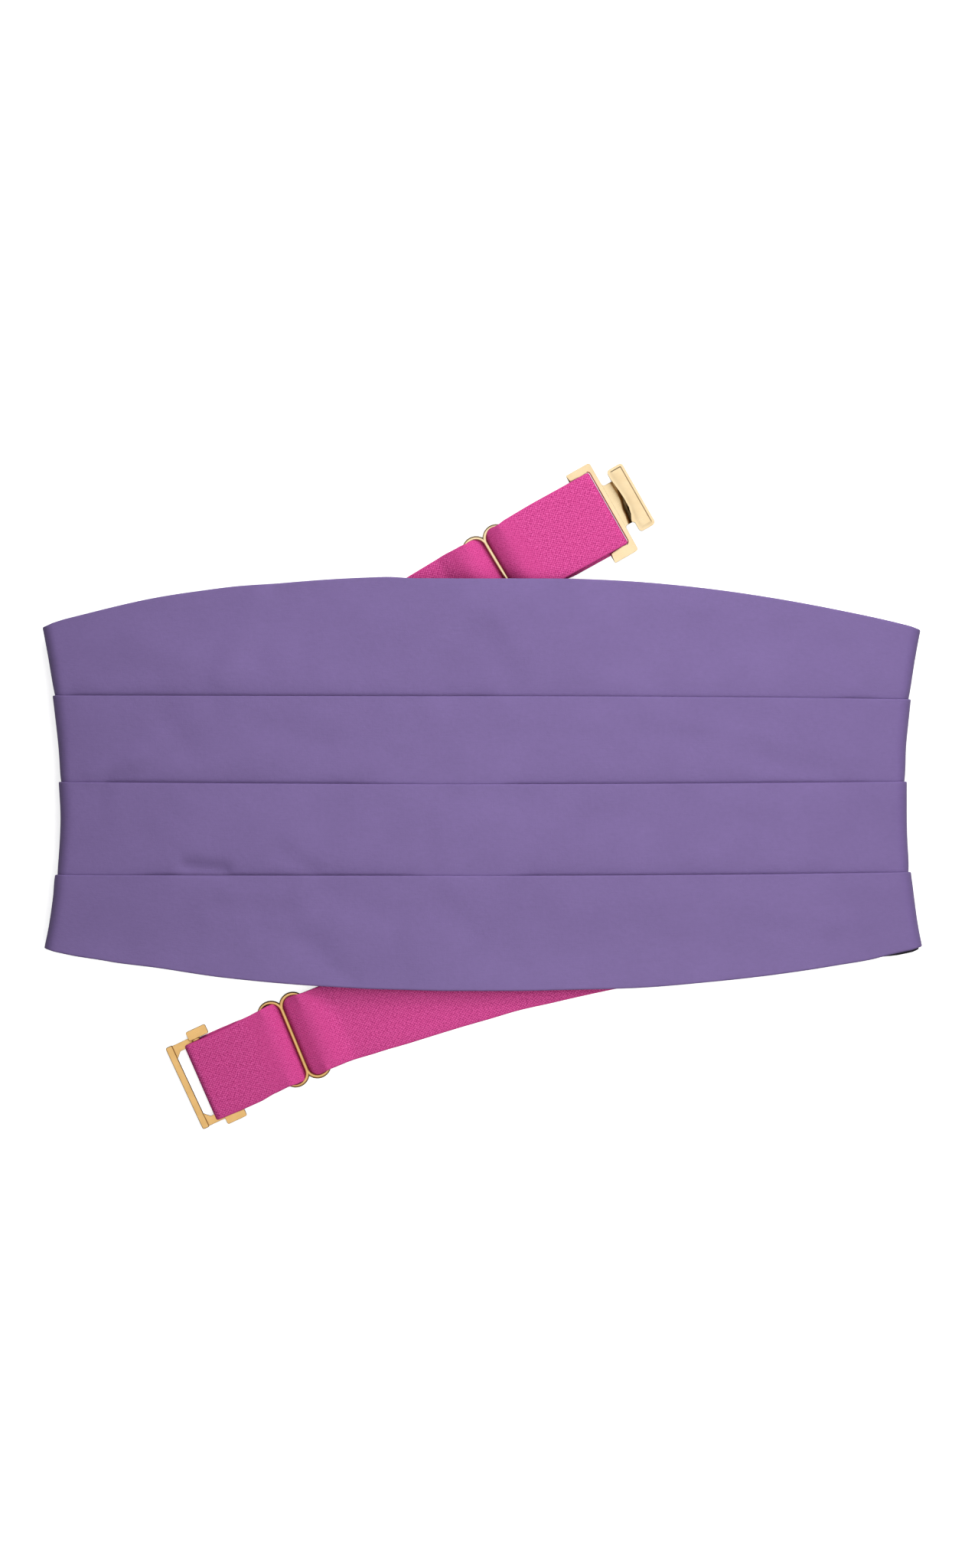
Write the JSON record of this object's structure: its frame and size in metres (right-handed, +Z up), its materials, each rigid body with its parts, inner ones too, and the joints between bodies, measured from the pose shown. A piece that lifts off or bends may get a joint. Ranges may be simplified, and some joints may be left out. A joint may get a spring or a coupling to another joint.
{
  "type": "cummerbund",
  "caption": "Pleated satin cummerbund lying flat, its ends folded under, with elastic straps, wire slides, a T hook and an eye.",
  "frame": {"origin": "on the surface that the garment lies on, under the middle of the whole", "axes": "+X along the front towards the right-hand end as it lies, +Y towards its top edge, +Z up out of its face"},
  "size_m": [0.2776, 0.2112, 0.0097],
  "materials": {
    "satin": "matte purple satin",
    "lining": "near-black lining cloth",
    "elastic": "pink knitted elastic",
    "pale_gold": "pale gold plate, polished",
    "deep_gold": "deep gold plate, satin"
  },
  "bodies": {
    "root": {"front": "satin", "tab_left": "satin", "tab_right": "satin", "lining": "lining", "strap_hook": "elastic", "strap_eye": "elastic", "slide_hook": "pale_gold", "hook": "pale_gold", "slide_eye": "deep_gold", "eye": "deep_gold"}
  },
  "joints": []
}
